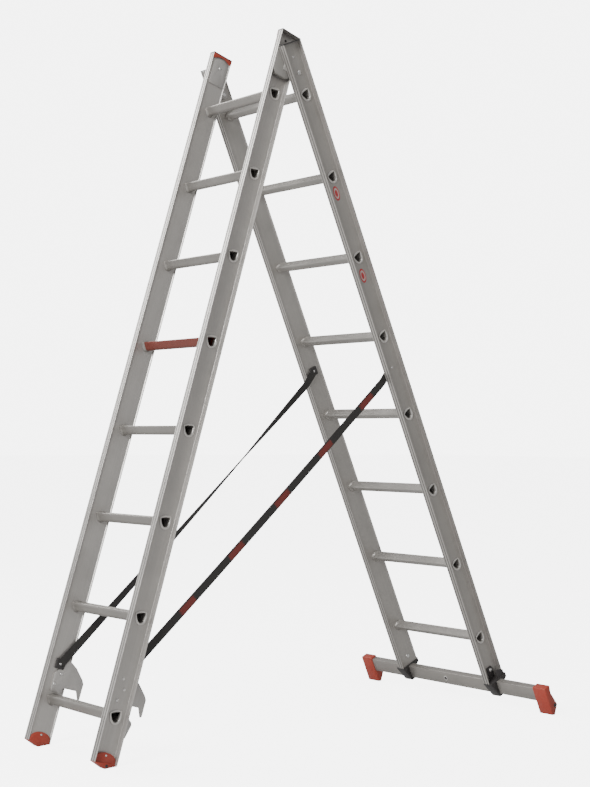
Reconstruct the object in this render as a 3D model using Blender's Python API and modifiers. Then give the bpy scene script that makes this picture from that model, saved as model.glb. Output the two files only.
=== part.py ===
"""An aluminium ladder of two sections, set up as an A-frame with a stabiliser bar.

Each section has a frame of its own: X across the ladder, +Y to its back, +Z up
along its stiles. `across` is the distance from a stile's middle line, positive
to the front, and `up` is the distance along the stile from the floor line.
"""

import math

import bmesh
import bpy
from mathutils import Matrix, Vector

GAP = 0.0003

RUNG_COUNT = 8
RUNG_PITCH = 0.280
RUNG_ACROSS = -0.006
RUNG_WALL = 0.0016
TREAD_TILT = math.radians(16.25)
TREAD_REACH_UP = 0.0179

STILE_DEPTH = 0.077
STILE_WIDTH = 0.025
FLANGE_WALL = 0.0020
LIP_WALL = 0.0024
WEB_WALL = 0.0018
WEB_RECESS = 0.0030

FLY_LEAN = math.radians(16.25)
FLY_FOOT_Y = -0.803
FLY_INNER = 0.1730
FLY_BOTTOM = 0.0150
FLY_TOP = 2.3060
FLY_FIRST_RUNG = 0.1394
FLY_RED_RUNG = 5

BASE_LEAN = math.radians(24.24)
BASE_FOOT_Y = 0.803
BASE_INNER = 0.2010
BASE_BOTTOM = 0.1010
BASE_TOP = 2.3880
BASE_FIRST_RUNG = 0.2547

FLY_CROSSING = 2.2551
BASE_CROSSING = 2.3745
NEST_OFFSET = 0.0530
NOTCH_TOP = 0.1770
SEAT_GAP = 0.0005

BAR_HALF_LENGTH = 0.400
BAR_FRONT = 0.0110
BAR_BACK = -0.0130
BAR_LOW = 0.0500
BAR_HIGH = 0.0980
BAR_WALL = 0.0018
BAR_FOOT_END = 0.456

CAP_LID = 0.0042
FOOT_PLUG = 0.0100

CLAMP_INNER = 0.1995
CLAMP_OUTER = 0.2360
CLAMP_BOLT = (-0.002, 0.132)

FLY_STRAP_AT = (0.0, 0.245)
BASE_STRAP_AT = (0.0, 1.267)
TAB_SIZE = 0.030
STRAP_WIDTH = 0.028
STRAP_THICKNESS = 0.0016

HOOK_RIVETS = ((-0.012, 0.217), (0.003, 0.185))
TOP_PLATE_RIVET = (-0.002, 2.262)
FLY_HOLES = HOOK_RIVETS + (TOP_PLATE_RIVET, FLY_STRAP_AT)

MIDDLE_Y = -0.011109

TREAD_PROFILE = (
    (0.0160, 0.0140), (0.0160, 0.0105), (0.0135, 0.0030), (0.0105, -0.0050),
    (0.0080, -0.0105), (0.0040, -0.0136), (-0.0040, -0.0136), (-0.0080, -0.0105),
    (-0.0105, -0.0050), (-0.0135, 0.0030), (-0.0160, 0.0105), (-0.0160, 0.0140),
)

HOOK_BEAK = (
    (-0.034, 0.258), (-0.060, 0.242), (-0.090, 0.213), (-0.097, 0.202), (-0.0965, 0.1555),
    (-0.0940, 0.1525), (-0.0900, 0.1525), (-0.0780, 0.1770), (-0.0280, 0.1770),
)
HOOK_HEEL = (
    (-0.060, 0.138), (-0.066, 0.135), (-0.069, 0.126), (-0.058, 0.089), (-0.044, 0.083),
    (-0.030, 0.090), (-0.0235, 0.104),
)
HOOK_BODY = (
    (-0.0235, 0.161), (0.0085, 0.164), (0.0105, 0.166), (0.0105, 0.2165), (0.0000, 0.2280),
    (-0.0160, 0.2285), (-0.0175, 0.255),
)
HOOK_PAD = ((-0.0300, 0.1690), (0.0100, 0.1690), (0.0100, 0.2160), (-0.0010, 0.2270), (-0.0300, 0.2270))


def clear_scene():
    for item in list(bpy.data.objects):
        bpy.data.objects.remove(item, do_unlink=True)
    for item in list(bpy.data.collections):
        bpy.data.collections.remove(item)


def new_collection(name):
    group = bpy.data.collections.new(name)
    bpy.context.scene.collection.children.link(group)
    return group


def new_material(name, colour, roughness, metallic):
    material = bpy.data.materials.new(name)
    material.use_nodes = True
    shader = material.node_tree.nodes["Principled BSDF"]
    shader.inputs["Base Color"].default_value = (*colour, 1.0)
    shader.inputs["Roughness"].default_value = roughness
    shader.inputs["Metallic"].default_value = metallic
    material.diffuse_color = (*colour, 1.0)
    return material


def empty(name, group, location=(0.0, 0.0, 0.0), turn=0.0, parent=None):
    item = bpy.data.objects.new(name, None)
    item.empty_display_size = 0.1
    item.location = location
    item.rotation_euler = (turn, 0.0, 0.0)
    item.parent = parent
    group.objects.link(item)
    return item


def object_of(name, mesh, group, frame, finish):
    """Adds a mesh made in a section's frame; finish is (colour, roughness, metallic)."""
    item = bpy.data.objects.new(name, mesh)
    item.parent = frame
    group.objects.link(item)
    if finish:
        mesh.materials.append(new_material(name + "_finish", *finish))
    return item


def mesh_of(name, bm):
    bmesh.ops.remove_doubles(bm, verts=bm.verts, dist=0.00001)
    bmesh.ops.recalc_face_normals(bm, faces=bm.faces)
    mesh = bpy.data.meshes.new(name)
    bm.to_mesh(mesh)
    bm.free()
    return mesh


def extruded(name, loops, depth, placing):
    """A flat outline, with any holes, made thick along its own Z from 0 to depth and placed by a matrix."""
    curve = bpy.data.curves.new(name, "CURVE")
    curve.dimensions = "2D"
    curve.fill_mode = "BOTH"
    curve.extrude = depth / 2
    for loop in loops:
        spline = curve.splines.new("POLY")
        spline.points.add(len(loop) - 1)
        for point, (a, b) in zip(spline.points, loop):
            point.co = (a, b, 0.0, 1.0)
        spline.use_cyclic_u = True
    item = bpy.data.objects.new(name, curve)
    bpy.context.scene.collection.objects.link(item)
    bpy.context.view_layer.update()
    graph = bpy.context.evaluated_depsgraph_get()
    mesh = bpy.data.meshes.new_from_object(item.evaluated_get(graph))
    bpy.data.objects.remove(item, do_unlink=True)
    bpy.data.curves.remove(curve)
    bm = bmesh.new()
    bm.from_mesh(mesh)
    bpy.data.meshes.remove(mesh)
    bmesh.ops.transform(bm, matrix=placing @ Matrix.Translation((0, 0, depth / 2)), verts=bm.verts)
    return mesh_of(name, bm)


def side_placing(x_low):
    """Takes an outline in (across, up) to the section's frame, with its thickness along +X from x_low."""
    turn = Matrix(((0, 0, 1, 0), (-1, 0, 0, 0), (0, 1, 0, 0), (0, 0, 0, 1)))
    return Matrix.Translation((x_low, 0, 0)) @ turn


def plan_placing(up_low):
    """Takes an outline in (x, across) to the section's frame, with its thickness along the stile from up_low."""
    turn = Matrix(((1, 0, 0, 0), (0, -1, 0, 0), (0, 0, -1, 0), (0, 0, 0, 1)))
    return Matrix.Translation((0, 0, up_low)) @ turn


def side_plate(name, loops, x_low, x_high):
    return extruded(name, loops, x_high - x_low, side_placing(x_low))


def plan_block(name, loops, up_low, up_high):
    return extruded(name, loops, up_high - up_low, plan_placing(up_high))


def rectangle(a_low, a_high, b_low, b_high):
    return ((a_low, b_low), (a_high, b_low), (a_high, b_high), (a_low, b_high))


def rounded(a_low, a_high, b_low, b_high, radius, steps=3):
    points = []
    centres = (
        (a_high - radius, b_low + radius, -90), (a_high - radius, b_high - radius, 0),
        (a_low + radius, b_high - radius, 90), (a_low + radius, b_low + radius, 180),
    )
    for a, b, start in centres:
        for step in range(steps + 1):
            angle = math.radians(start + 90 * step / steps)
            points.append((a + radius * math.cos(angle), b + radius * math.sin(angle)))
    return points


def circle(centre, radius, count=16):
    turns = [2 * math.pi * i / count for i in range(count)]
    return [(centre[0] + radius * math.cos(t), centre[1] + radius * math.sin(t)) for t in turns]


def mirrored(mesh, name):
    copy = mesh.copy()
    copy.name = name
    copy.materials.clear()
    copy.transform(Matrix.Diagonal((-1, 1, 1, 1)))
    copy.flip_normals()
    return copy


def pair(name, mesh, group, frame, finish):
    """The piece for +X as made, and its mirror image for -X."""
    right = object_of(name + "_right", mesh, group, frame, finish)
    left = object_of(name + "_left", mirrored(mesh, name + "_left"), group, frame, finish)
    return right, left


def boolean(mesh, other, operation, cutters):
    """The mesh after an exact Boolean with another mesh, whose object is kept as a cutter."""
    item = bpy.data.objects.new(mesh.name, mesh)
    bpy.context.scene.collection.objects.link(item)
    helper = bpy.data.objects.new(other.name + "_cutter", other)
    helper.hide_render = True
    helper.display_type = "WIRE"
    cutters.objects.link(helper)
    modifier = item.modifiers.new("cut", "BOOLEAN")
    modifier.operation = operation
    modifier.solver = "EXACT"
    modifier.object = helper
    bpy.context.view_layer.update()
    graph = bpy.context.evaluated_depsgraph_get()
    result = bpy.data.meshes.new_from_object(item.evaluated_get(graph))
    result.name = mesh.name
    bpy.data.objects.remove(item, do_unlink=True)
    bpy.data.objects.remove(helper, do_unlink=True)
    return result


def joined(name, meshes):
    bm = bmesh.new()
    for mesh in meshes:
        bm.from_mesh(mesh)
        bpy.data.meshes.remove(mesh)
    return mesh_of(name, bm)


def drill(mesh, spots, radius, x_low, x_high, cutters):
    """Cuts round holes along X at each (across, up) spot."""
    pins = [side_plate("pin", [circle(spot, radius)], x_low, x_high) for spot in spots]
    return boolean(mesh, joined(mesh.name + "_holes", pins), "DIFFERENCE", cutters)


def turned(name, profile, spot, steps=16):
    """A piece turned about X; the profile is (radius, x) from its inner end to its outer end."""
    bm = bmesh.new()
    verts = [bm.verts.new((radius, 0.0, x)) for radius, x in reversed(profile)]
    for first, second in zip(verts, verts[1:]):
        bm.edges.new((first, second))
    mesh = bpy.data.meshes.new(name)
    bm.to_mesh(mesh)
    bm.free()
    item = bpy.data.objects.new(name, mesh)
    bpy.context.scene.collection.objects.link(item)
    screw = item.modifiers.new("turn", "SCREW")
    screw.steps = steps
    screw.render_steps = steps
    screw.use_merge_vertices = True
    screw.merge_threshold = 0.00001
    bpy.context.view_layer.update()
    graph = bpy.context.evaluated_depsgraph_get()
    result = bpy.data.meshes.new_from_object(item.evaluated_get(graph))
    bpy.data.objects.remove(item, do_unlink=True)
    bpy.data.meshes.remove(mesh)
    bm = bmesh.new()
    bm.from_mesh(result)
    bpy.data.meshes.remove(result)
    place = Matrix.Translation((0, -spot[0], spot[1])) @ Matrix.Rotation(math.pi / 2, 4, "Y")
    bmesh.ops.transform(bm, matrix=place, verts=bm.verts)
    made = mesh_of(name, bm)
    made.shade_smooth()
    return made


def rivet(name, spot, hidden, shank_from, shank_to, shank, head, height):
    """A rivet along X: a flat head inside, a shank, and a domed head outside."""
    profile = (
        (0.0, shank_from - hidden), (head * 0.9, shank_from - hidden), (head, shank_from),
        (shank, shank_from), (shank, shank_to), (head, shank_to),
        (head * 0.85, shank_to + height * 0.6), (head * 0.45, shank_to + height * 0.92),
        (0.0, shank_to + height),
    )
    return turned(name, profile, spot)


def offset_profile(grow):
    """The tread's outline, grown outwards from its middle by a length."""
    points = []
    for s, w in TREAD_PROFILE:
        reach = math.hypot(s, w)
        points.append((s * (1 + grow / reach), w * (1 + grow / reach)))
    return points


def tilted(points, up):
    """Turns an outline in the tread's own axes into (across, up)."""
    cos, sin = math.cos(TREAD_TILT), math.sin(TREAD_TILT)
    return [(RUNG_ACROSS + s * cos + w * sin, up - s * sin + w * cos) for s, w in points]


def loft(name, sections):
    """A closed ring of sections, each (x, outline), joined to the next and the last to the first."""
    bm = bmesh.new()
    rings = []
    for x, outline in sections:
        rings.append([bm.verts.new((x, -across, up)) for across, up in outline])
    count = len(rings[0])
    for ring, following in zip(rings, rings[1:] + rings[:1]):
        for i in range(count):
            j = (i + 1) % count
            bm.faces.new((ring[i], ring[j], following[j], following[i]))
    return mesh_of(name, bm)


def rung_mesh(name, inner, up):
    """A hollow rung whose ends pass through both webs, with a bead inside and a flared collar outside."""
    web_in = inner + WEB_RECESS
    web_out = web_in + WEB_WALL
    half = (
        (web_in - GAP - 0.0045, 0.0), (web_in - GAP - 0.0012, 0.0022), (web_in - GAP, 0.0),
        (web_out + GAP, 0.0), (web_out + GAP, 0.0060), (web_out + GAP + 0.0025, 0.0045),
    )
    outer = [(-x, grow) for x, grow in reversed(half)] + list(half)
    end = half[-1][0]
    sections = outer + [(end, -RUNG_WALL), (-end, -RUNG_WALL)]
    return loft(name, [(x, tilted(offset_profile(grow), up)) for x, grow in sections])


def stile_mesh(name, inner, bottom, top, first_rung, holes, cutters):
    """An outward-open channel with a rung's hole at each rung and round holes for its rivets."""
    half = STILE_DEPTH / 2
    web_in = inner + WEB_RECESS
    web_out = web_in + WEB_WALL
    outside = half - FLANGE_WALL
    inside = half - LIP_WALL
    outer = inner + STILE_WIDTH
    outline = (
        (inner, -half), (outer, -half), (outer, -outside), (web_out, -outside),
        (web_out, outside), (outer, outside), (outer, half), (inner, half),
        (inner, inside), (web_in, inside), (web_in, -inside), (inner, -inside),
    )
    channel = plan_block(name, [outline], bottom, top)
    ups = [first_rung + RUNG_PITCH * k for k in range(RUNG_COUNT)]
    span = (web_in - 0.001, web_out + 0.001)
    pins = [side_plate("rung_hole", [tilted(offset_profile(GAP * 1.4), up)], *span) for up in ups]
    pins += [side_plate("rivet_hole", [circle(spot, radius)], *span) for spot, radius in holes]
    return boolean(channel, joined(name + "_holes", pins), "DIFFERENCE", cutters)


def cap_mesh(name, inner, top, flap_low, cutters):
    """A lid on a stile's end with a round-ended flap down the inner side of the web."""
    half = STILE_DEPTH / 2
    lid = plan_block(name, [rectangle(inner - 0.0012, inner + STILE_WIDTH, -half, half)], top + GAP, top + CAP_LID)
    edge = top + CAP_LID - 0.0004
    flap = side_plate(name + "_flap", [arch(0.0200, edge, flap_low, 0.018)], inner - 0.0012, inner + WEB_RECESS - GAP)
    return boolean(lid, flap, "UNION", cutters)


def band_cap_mesh(name, inner, top, cutters):
    """A lid with a band down in front of the lips, deep at both edges and shallow in the middle."""
    half = STILE_DEPTH / 2
    lid = plan_block(name, [rectangle(inner - 0.0012, inner + STILE_WIDTH, -half, half)], top + GAP, top + CAP_LID)
    edge = top + 0.0008
    under = [(-0.0310, 0.0165), (-0.0230, 0.0125), (-0.0140, 0.0085), (-0.0060, 0.0065)]
    under = [(-half, 0.0165)] + under + [(-across, drop) for across, drop in reversed(under)] + [(half, 0.0165)]
    outline = [(-half, edge)] + [(across, top - drop) for across, drop in under] + [(half, edge)]
    band = side_plate(name + "_band", [outline], inner - 0.0016, inner - GAP)
    return boolean(lid, band, "UNION", cutters)


def arch(wide, straight, tip, rise):
    """A flap's outline from a straight edge to a round tip; rise is the height of its round part."""
    way = 1 if tip > straight else -1
    points = [(-wide, straight)]
    for step in range(9):
        angle = math.pi * step / 8
        points.append((-wide * math.cos(angle), tip - way * rise * (1 - math.sin(angle))))
    points.append((wide, straight))
    return points


def foot_mesh(name, inner, cutters):
    """A shoe with a shallow V under the stile, a flap up the web's inner side and a plug in the channel."""
    half = STILE_DEPTH / 2
    wedge = (
        (-half, 0.0132), (-half, FLY_BOTTOM - GAP), (half, FLY_BOTTOM - GAP),
        (half, 0.0138), (0.0, 0.0),
    )
    shoe = side_plate(name, [wedge], inner - 0.0012, inner + STILE_WIDTH)
    web_in = inner + WEB_RECESS
    flap = side_plate(name + "_flap", [arch(0.0340, 0.0142, 0.043, 0.020)], inner - 0.0012, web_in - GAP)
    shoe = boolean(shoe, flap, "UNION", cutters)
    web_out = web_in + WEB_WALL
    plug = side_plate(name + "_plug", [arch(0.0358, 0.0142, 0.043, 0.020)], web_out + GAP, web_out + FOOT_PLUG)
    return boolean(shoe, plug, "UNION", cutters)


def hook_mesh(name, outline, cutters):
    """The hook's plate, which is set off the web by a flat pad between the lips, with its rivets' holes."""
    inside = FLY_INNER - GAP
    plate = side_plate(name, [outline], inside - 0.0030, inside)
    web = FLY_INNER + WEB_RECESS
    pad = side_plate(name + "_pad", [HOOK_PAD], inside - 0.0010, web - GAP)
    plate = boolean(plate, pad, "UNION", cutters)
    return drill(plate, HOOK_RIVETS, 0.0028, inside - 0.004, web + 0.001, cutters)


def clamp_mesh(name, cutters):
    """The saddle under a base stile: a sleeve round the bar, a tongue up the web, a cheek and a back stop."""
    outer = (
        (0.0145, 0.0425), (0.0385, 0.0975), (0.0385, BASE_BOTTOM - GAP),
        (-0.0389, BASE_BOTTOM - GAP), (-0.0389, 0.1050), (-0.0412, 0.1050), (-0.0412, 0.0900),
        (-0.0170, 0.0790), (-0.0170, 0.0425),
    )
    hole = rectangle(BAR_BACK - GAP, BAR_FRONT + GAP, BAR_LOW - GAP, BAR_HIGH + GAP)
    saddle = side_plate(name, [outer, hole], CLAMP_INNER, CLAMP_OUTER)
    web_out = BASE_INNER + WEB_RECESS + WEB_WALL
    tongue = rounded(-0.0130, 0.0130, 0.0995, 0.1450, 0.0060)
    plate = side_plate(name + "_tongue", [tongue], web_out + GAP, web_out + 0.0030)
    saddle = boolean(saddle, plate, "UNION", cutters)
    cheek = (
        (-0.0400, 0.0920), (-0.0180, 0.0920), (-0.0150, 0.0990), (-0.0050, 0.0990), (-0.0050, 0.1260),
        (-0.0100, 0.1300), (-0.0370, 0.1190), (-0.0400, 0.1160),
    )
    stile_out = BASE_INNER + STILE_WIDTH
    wall = side_plate(name + "_cheek", [cheek], stile_out + GAP, stile_out + 0.0035)
    whole = boolean(saddle, wall, "UNION", cutters)
    return drill(whole, [CLAMP_BOLT], 0.0042, web_out - 0.001, web_out + 0.005, cutters)


def bar_mesh(name):
    """The stabiliser's rectangular tube, open at both ends."""
    placing = Matrix(((0, 0, 1, -BAR_HALF_LENGTH), (-1, 0, 0, 0), (0, 1, 0, 0), (0, 0, 0, 1)))
    outer = rounded(BAR_BACK, BAR_FRONT, BAR_LOW, BAR_HIGH, 0.0025, 2)
    wall = BAR_WALL
    bore = rounded(BAR_BACK + wall, BAR_FRONT - wall, BAR_LOW + wall, BAR_HIGH - wall, 0.0012, 2)
    return extruded(name, [outer, bore], 2 * BAR_HALF_LENGTH, placing)


def bar_foot_mesh(name):
    """The end cap of the bar, which reaches down to the floor and has a waist and a heel at its back."""
    slope = math.tan(BASE_LEAN)
    outline = (
        (0.0135, 0.1030), (-0.0145, 0.1030), (-0.0100, 0.0780), (-0.0240, 0.0270),
        (0.0010, 0.0010 * slope), (0.0140, 0.0140 * slope),
    )
    return side_plate(name, [outline], BAR_HALF_LENGTH + GAP, BAR_FOOT_END)


def arm_outline(pivot, wide):
    """A flat arm's outline: round behind the pivot, straight to the stile's middle."""
    across, up = pivot
    points = [(0.000, up + wide), (0.000, up - wide)]
    for step in range(9):
        angle = math.radians(-90 - 180 * step / 8)
        points.append((across + wide * math.cos(angle), up + wide * math.sin(angle)))
    return points


def strap_mesh(name, fly_frame, base_frame, fly_at, base_at):
    """A flat strap between two (x, across, up) ends, one in each section's frame, in world axes."""
    low = fly_frame.matrix_world @ Vector((fly_at[0], -fly_at[1], fly_at[2]))
    high = base_frame.matrix_world @ Vector((base_at[0], -base_at[1], base_at[2]))
    along = (high - low).normalized()
    broad = Vector((1, 0, 0)).cross(along).normalized()
    thick = along.cross(broad).normalized()
    low = low + along * 0.0215
    high = high - along * 0.0200
    bm = bmesh.new()
    bmesh.ops.create_cube(bm, size=1.0)
    size = Matrix.Diagonal(((high - low).length, STRAP_WIDTH, STRAP_THICKNESS, 1))
    axes = Matrix((along, broad, thick)).transposed().to_4x4()
    place = Matrix.Translation((low + high) / 2) @ axes @ size
    bmesh.ops.transform(bm, matrix=place, verts=bm.verts)
    return mesh_of(name, bm)


def pivot_place():
    """The hinge's (across, up) on the base: the turn between the open and the folded pose has its centre there."""
    swing = FLY_LEAN + BASE_LEAN
    seat = BASE_FIRST_RUNG - (NOTCH_TOP - TREAD_REACH_UP - SEAT_GAP)
    shift = seat - (BASE_CROSSING - FLY_CROSSING)
    less, sine = 1 - math.cos(swing), math.sin(swing)
    size = less * less + sine * sine
    up = BASE_CROSSING + (less * shift - sine * NEST_OFFSET) / size
    across = (less * NEST_OFFSET + sine * shift) / size
    return across, up


def pivot_on_fly(pivot):
    """The same point in the fly's (across, up) when the ladder stands open."""
    swing = FLY_LEAN + BASE_LEAN
    across, rise = pivot[0], pivot[1] - BASE_CROSSING
    up = FLY_CROSSING + rise * math.cos(swing) - across * math.sin(swing)
    return rise * math.sin(swing) + across * math.cos(swing), up


ALUMINIUM = ((0.52, 0.51, 0.49), 0.42, 1.0)
BRIGHT = ((0.62, 0.62, 0.61), 0.30, 1.0)
RED_PAINT = ((0.42, 0.06, 0.04), 0.45, 0.0)
RED_PLASTIC = ((0.55, 0.07, 0.03), 0.45, 0.0)
DARK_PLASTIC = ((0.030, 0.027, 0.027), 0.50, 0.0)
WEBBING = ((0.030, 0.030, 0.032), 0.80, 0.0)


def build_base(group, cutters, frame, pivot):
    """The rear section with its stabiliser, and the two bolts that it turns on."""
    holes = [(pivot, 0.0050), (CLAMP_BOLT, 0.0042), (BASE_STRAP_AT, 0.0028)]
    stile = stile_mesh("base_stile", BASE_INNER, BASE_BOTTOM, BASE_TOP, BASE_FIRST_RUNG, holes, cutters)
    pair("base_stile", stile, group, frame, ALUMINIUM)
    for k in range(RUNG_COUNT):
        name = f"base_rung_{k + 1}"
        mesh = rung_mesh(name, BASE_INNER, BASE_FIRST_RUNG + RUNG_PITCH * k)
        object_of(name, mesh, group, frame, ALUMINIUM)
    cap = cap_mesh("base_top_cap", BASE_INNER, BASE_TOP, BASE_TOP - 0.022, cutters)
    pair("base_top_cap", cap, group, frame, DARK_PLASTIC)
    object_of("stabiliser_bar", bar_mesh("stabiliser_bar"), group, frame, ALUMINIUM)
    pair("bar_foot", bar_foot_mesh("bar_foot"), group, frame, RED_PLASTIC)
    pair("bar_clamp", clamp_mesh("bar_clamp", cutters), group, frame, DARK_PLASTIC)
    web_in = BASE_INNER + WEB_RECESS
    web_out = web_in + WEB_WALL
    bolt = rivet("clamp_bolt", CLAMP_BOLT, 0.002, web_in - GAP, web_out + 0.0033, 0.0038, 0.0075, 0.0045)
    pair("clamp_bolt", bolt, group, frame, BRIGHT)
    fly_out = FLY_INNER + STILE_WIDTH
    profile = (
        (0.0, fly_out - 0.0022), (0.0065, fly_out - 0.0022), (0.0070, fly_out + 0.0001),
        (0.0045, fly_out + 0.0001), (0.0045, fly_out + 0.0029), (0.0085, fly_out + 0.0029),
        (0.0085, web_in - GAP), (0.0045, web_in - GAP), (0.0045, web_out + GAP),
        (0.0090, web_out + GAP), (0.0080, web_out + 0.0028), (0.0045, web_out + 0.0046),
        (0.0, web_out + 0.0050),
    )
    pair("pivot_bolt", turned("pivot_bolt", profile, pivot), group, frame, BRIGHT)


def build_guides(group, cutters, frame, pivot):
    """The shoes that run in the fly's channels and the arms that carry them."""
    lip = STILE_DEPTH / 2 - FLANGE_WALL - 0.0007
    fly_out = FLY_INNER + STILE_WIDTH
    shoe = side_plate("guide_shoe", [rounded(-lip, lip, 2.155, 2.250, 0.020, 4)], FLY_INNER + 0.010, fly_out + 0.0001)
    pair("guide_shoe", shoe, group, frame, DARK_PLASTIC)
    arm = side_plate("guide_arm", [arm_outline(pivot, 0.015)], fly_out + 0.0004, fly_out + 0.0026)
    arm = drill(arm, [pivot], 0.0048, fly_out - 0.001, fly_out + 0.004, cutters)
    pair("guide_arm", arm, group, frame, DARK_PLASTIC)


def build_fly(group, cutters, frame):
    """The front section with its hooks, plates, caps and feet."""
    holes = [(spot, 0.0028) for spot in FLY_HOLES]
    stile = stile_mesh("fly_stile", FLY_INNER, FLY_BOTTOM, FLY_TOP, FLY_FIRST_RUNG, holes, cutters)
    pair("fly_stile", stile, group, frame, ALUMINIUM)
    for k in range(RUNG_COUNT):
        name = f"fly_rung_{k + 1}"
        mesh = rung_mesh(name, FLY_INNER, FLY_FIRST_RUNG + RUNG_PITCH * k)
        object_of(name, mesh, group, frame, RED_PAINT if k + 1 == FLY_RED_RUNG else ALUMINIUM)
    right = hook_mesh("hook_plate_right", HOOK_BEAK + HOOK_HEEL + HOOK_BODY, cutters)
    object_of("hook_plate_right", right, group, frame, ALUMINIUM)
    left = hook_mesh("hook_plate_left", HOOK_BEAK + HOOK_BODY, cutters)
    object_of("hook_plate_left", mirrored(left, "hook_plate_left"), group, frame, ALUMINIUM)
    web_in = FLY_INNER + WEB_RECESS
    web_out = web_in + WEB_WALL
    for name, spot in zip(("hook_rivet_upper", "hook_rivet_lower"), HOOK_RIVETS):
        mesh = rivet(name, spot, 0.0012, FLY_INNER - 0.0036, web_out + GAP, 0.0025, 0.0050, 0.0024)
        pair(name, mesh, group, frame, BRIGHT)
    plate = side_plate("top_plate", [arch(0.0290, 2.198, 2.294, 0.020)], web_in - 0.0030, web_in - GAP)
    plate = drill(plate, [TOP_PLATE_RIVET], 0.0028, web_in - 0.004, web_in + 0.001, cutters)
    pair("top_plate", plate, group, frame, ALUMINIUM)
    top = rivet("top_plate_rivet", TOP_PLATE_RIVET, 0.0012, web_in - 0.0033, web_out + GAP, 0.0025, 0.0050, 0.0018)
    pair("top_plate_rivet", top, group, frame, BRIGHT)
    pair("fly_top_cap", band_cap_mesh("fly_top_cap", FLY_INNER, FLY_TOP, cutters), group, frame, RED_PLASTIC)
    pair("fly_foot", foot_mesh("fly_foot", FLY_INNER, cutters), group, frame, RED_PLASTIC)


def build_straps(group, cutters, base_frame, fly_frame):
    """The two spreader straps with the tab and rivet that hold each end."""
    ends = (("base", BASE_INNER, BASE_STRAP_AT, base_frame), ("fly", FLY_INNER, FLY_STRAP_AT, fly_frame))
    for section, inner, spot, frame in ends:
        web_in = inner + WEB_RECESS
        web_out = web_in + WEB_WALL
        face = inner - 0.0030
        half = TAB_SIZE / 2
        outline = rounded(spot[0] - half, spot[0] + half, spot[1] - half, spot[1] + half, 0.002, 1)
        name = section + "_strap_tab"
        tab = side_plate(name, [outline], face, web_in - GAP)
        tab = drill(tab, [spot], 0.0028, face - 0.001, web_in + 0.001, cutters)
        pair(name, tab, group, frame, DARK_PLASTIC)
        name = section + "_strap_rivet"
        mesh = rivet(name, spot, 0.0016, face - GAP, web_out + GAP, 0.0025, 0.0042, 0.0022)
        pair(name, mesh, group, frame, BRIGHT)
    mesh = strap_mesh(
        "strap", fly_frame, base_frame, (FLY_INNER - 0.0032, *FLY_STRAP_AT), (BASE_INNER - 0.0012, *BASE_STRAP_AT)
    )
    pair("strap", mesh, group, None, WEBBING)


def main():
    clear_scene()
    group = new_collection("two_section_ladder")
    cutters = new_collection("cutters")
    cutters.hide_render = True
    pivot = pivot_place()
    base = empty("base_frame", group, (0.0, BASE_FOOT_Y - MIDDLE_Y, 0.0), BASE_LEAN)
    hinge = empty("guide_pivot", group, (0.0, -pivot[0], pivot[1]), 0.0, base)
    on_fly = pivot_on_fly(pivot)
    fly = empty("fly_frame", group, (0.0, 0.0, 0.0), -FLY_LEAN - BASE_LEAN, hinge)
    fly_turn = Matrix.Rotation(fly.rotation_euler.x, 3, "X")
    fly.location = -(fly_turn @ Vector((0.0, -on_fly[0], on_fly[1])))
    bpy.context.view_layer.update()
    build_base(group, cutters, base, pivot)
    build_guides(group, cutters, fly, on_fly)
    build_fly(group, cutters, fly)
    build_straps(group, cutters, base, fly)


main()
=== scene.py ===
"""The look of a two-section aluminium ladder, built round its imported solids.

Lengths are in metres. Each section has a frame of its own: x across the
ladder, `across` from the stile's middle line (positive to the section's
front) and `up` along the stile from the floor line.
"""

import math

import bmesh
import bpy
from mathutils import Matrix, Vector


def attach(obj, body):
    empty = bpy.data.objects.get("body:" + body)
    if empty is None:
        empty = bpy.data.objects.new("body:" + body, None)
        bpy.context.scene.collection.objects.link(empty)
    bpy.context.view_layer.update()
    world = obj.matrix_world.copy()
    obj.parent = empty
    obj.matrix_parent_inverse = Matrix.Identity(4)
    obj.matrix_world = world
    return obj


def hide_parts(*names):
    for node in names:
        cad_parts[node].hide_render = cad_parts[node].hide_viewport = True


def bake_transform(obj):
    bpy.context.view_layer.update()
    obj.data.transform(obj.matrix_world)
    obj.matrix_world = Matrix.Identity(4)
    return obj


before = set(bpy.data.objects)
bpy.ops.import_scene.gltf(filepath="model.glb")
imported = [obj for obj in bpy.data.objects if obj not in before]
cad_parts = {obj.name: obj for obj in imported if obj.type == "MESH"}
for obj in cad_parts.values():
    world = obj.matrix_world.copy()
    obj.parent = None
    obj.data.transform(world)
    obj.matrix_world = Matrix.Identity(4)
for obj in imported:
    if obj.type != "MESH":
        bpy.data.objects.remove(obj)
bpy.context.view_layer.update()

# The two sections

FLY_LEAN = math.radians(-16.25)
BASE_LEAN = math.radians(24.24)
FLY_FOOT = (0.0, -0.791808, 0.000141)
BASE_FOOT = (0.0, 0.814109, 0.0)
FLY_FRAME = Matrix.Translation(FLY_FOOT) @ Matrix.Rotation(FLY_LEAN, 4, "X")
BASE_FRAME = Matrix.Translation(BASE_FOOT) @ Matrix.Rotation(BASE_LEAN, 4, "X")

STILE_DEPTH = 0.077
STILE_WIDTH = 0.025
WEB_RECESS = 0.0030
WEB_WALL = 0.0018
FLY_INNER = 0.1730
BASE_INNER = 0.2010
FLY_SPAN = (0.0150, 2.3060)
BASE_SPAN = (0.1010, 2.3880)

RUNG_COUNT = 8
RUNG_PITCH = 0.280
FLY_FIRST_RUNG = 0.1394
BASE_FIRST_RUNG = 0.2547
RED_RUNG = 5
TREAD_TILT = -FLY_LEAN
RUNG_ACROSS = -0.006
RUNG_WALL = 0.0016
BAR_FRONT = 0.0111
BAR_END = 0.4562

FLY_STRAP_AT = (0.0, 0.245)
BASE_STRAP_AT = (0.0, 1.267)
STRAP_WIDTH = 0.028
STRAP_THICKNESS = 0.0016
WEAVE_LENGTH = 0.0022
WEAVE_WIDTH = 0.0028


# Mesh helpers

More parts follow.
